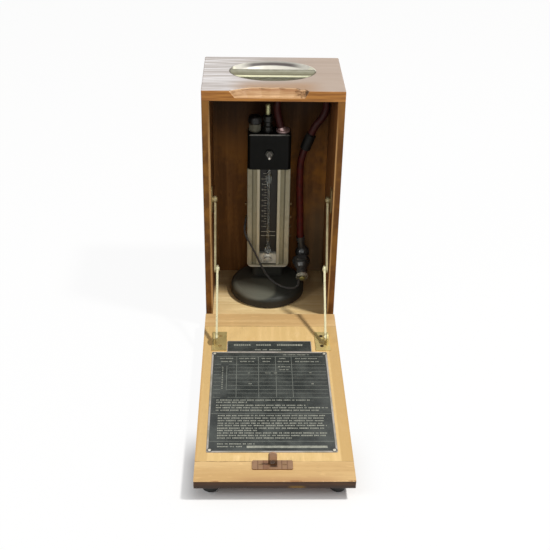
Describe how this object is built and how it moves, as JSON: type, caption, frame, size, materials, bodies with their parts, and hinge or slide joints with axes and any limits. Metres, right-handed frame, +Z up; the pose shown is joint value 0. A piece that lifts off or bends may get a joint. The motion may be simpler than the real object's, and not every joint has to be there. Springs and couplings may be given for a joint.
{
  "type": "manometer in carrying case",
  "caption": "Table mercury manometer on a round base in an upright wooden case whose front drops flat on folding stays, with a hose and a printed plate.",
  "frame": {"origin": "middle of the footprint of the case with its front lying open, at the height of the surface it stands on", "axes": "+X to the right seen from the front, +Y from the front towards the back, +Z up"},
  "size_m": [0.2, 0.5264, 0.39],
  "materials": {
    "side_oak": "oiled oak, darker outside",
    "top_oak": "oak bleached to grey-pink",
    "panel_oak": "pale golden oak, satin",
    "batten_oak": "golden oak with the grain across, satin",
    "back_oak": "oak board, satin",
    "nickel": "dull nickel",
    "stay_brass": "aged brass",
    "brass": "worn brass",
    "steel": "plain steel",
    "copper": "brown, worn plating",
    "chrome": "bright",
    "black_enamel": "glossy green-black enamel",
    "head_black": "black paint",
    "pale_metal": "satin, slightly yellowed",
    "scale_face": "dark enamel with pale marks",
    "well_face": "pale, smeared",
    "tube_glass": "clear",
    "black_plastic": "black moulded",
    "red_rubber": "red rubber hose",
    "black_rubber": "black rubber",
    "cord": "dark twisted cord",
    "printed_plate": "dark enamel with pale print"
  },
  "bodies": {
    "case": {"case_top": "top_oak", "case_bottom": "batten_oak", "case_back": "back_oak", "case_left_side": "side_oak", "case_right_side": "side_oak", "case_feet": "black_rubber", "handle_dish": "nickel", "handle_bar": "nickel", "hinge_case_leaves": "brass", "hinge_pins": "brass", "hinge_case_screws": "brass", "left_stay_wall_plate": "stay_brass", "right_stay_wall_plate": "stay_brass", "stay_wall_screws": "stay_brass", "gauge_base": "black_enamel", "base_pads": "black_rubber", "column_frame": "pale_metal", "column_screws": "steel", "scale_plate": "scale_face", "well_cover": "well_face", "glass_tube": "tube_glass", "head_block": "head_black", "front_collar": "brass", "front_stem": "brass", "gland_nut": "brass", "valve_body": "black_plastic", "valve_spindle": "brass", "hose_nipple": "brass", "upper_hose": "red_rubber", "hose_joiner": "black_plastic", "lower_hose": "red_rubber", "hose_clip": "chrome", "swivel_elbow": "black_plastic", "coupling_nut": "chrome", "coupling_body": "brass", "coupling_ring": "chrome", "tie_cord": "cord"},
    "door": {"door_panel": "panel_oak", "door_hinge_batten": "batten_oak", "door_free_batten": "batten_oak", "door_feet": "black_rubber", "hinge_door_leaves": "brass", "hinge_door_screws": "brass", "title_plate": "printed_plate", "instruction_plate": "printed_plate", "plate_screws": "steel", "lock_link_plate": "copper", "lock_link_screws": "steel", "left_stay_bracket": "stay_brass", "right_stay_bracket": "stay_brass", "bracket_screws": "stay_brass", "bracket_rivets": "stay_brass"},
    "left_upper_arm": {"left_stay_upper_arm": "stay_brass"},
    "right_upper_arm": {"right_stay_upper_arm": "stay_brass"},
    "left_lower_arm": {"left_stay_lower_arm": "stay_brass", "left_stay_knee_rivet": "stay_brass"},
    "right_lower_arm": {"right_stay_lower_arm": "stay_brass", "right_stay_knee_rivet": "stay_brass"},
    "vent_knob": {"vent_knob": "black_plastic"}
  },
  "joints": [
    {"name": "door_hinge", "type": "hinge", "parent": "case", "child": "door", "pos_m": [0, 0.10675, 0.02], "axis": [-1, 0, 0], "range_deg": [0, 90]},
    {"name": "left_wall_pivot", "type": "hinge", "parent": "case", "child": "left_upper_arm", "pos_m": [-0.0837, 0.14525, 0.2105], "axis": [1, 0, 0], "range_deg": [0, 76]},
    {"name": "left_door_pivot", "type": "hinge", "parent": "door", "child": "left_lower_arm", "pos_m": [-0.0803, 0.02725, 0.044], "axis": [1, 0, 0], "range_deg": [0, 71]},
    {"name": "right_wall_pivot", "type": "hinge", "parent": "case", "child": "right_upper_arm", "pos_m": [0.0837, 0.14525, 0.2105], "axis": [1, 0, 0], "range_deg": [0, 76]},
    {"name": "right_door_pivot", "type": "hinge", "parent": "door", "child": "right_lower_arm", "pos_m": [0.0803, 0.02725, 0.044], "axis": [1, 0, 0], "range_deg": [0, 71]},
    {"name": "vent_knob_turn", "type": "hinge", "parent": "case", "child": "vent_knob", "pos_m": [-0.025, 0.21625, 0.3048], "axis": [0, 0, 1], "range_deg": [0, 270]}
  ],
  "couplings": [
    {"joint": "left_wall_pivot", "follows": "door_hinge", "ratio": 0.8389},
    {"joint": "left_door_pivot", "follows": "door_hinge", "ratio": 0.7807},
    {"joint": "right_wall_pivot", "follows": "door_hinge", "ratio": 0.8389},
    {"joint": "right_door_pivot", "follows": "door_hinge", "ratio": 0.7807}
  ]
}
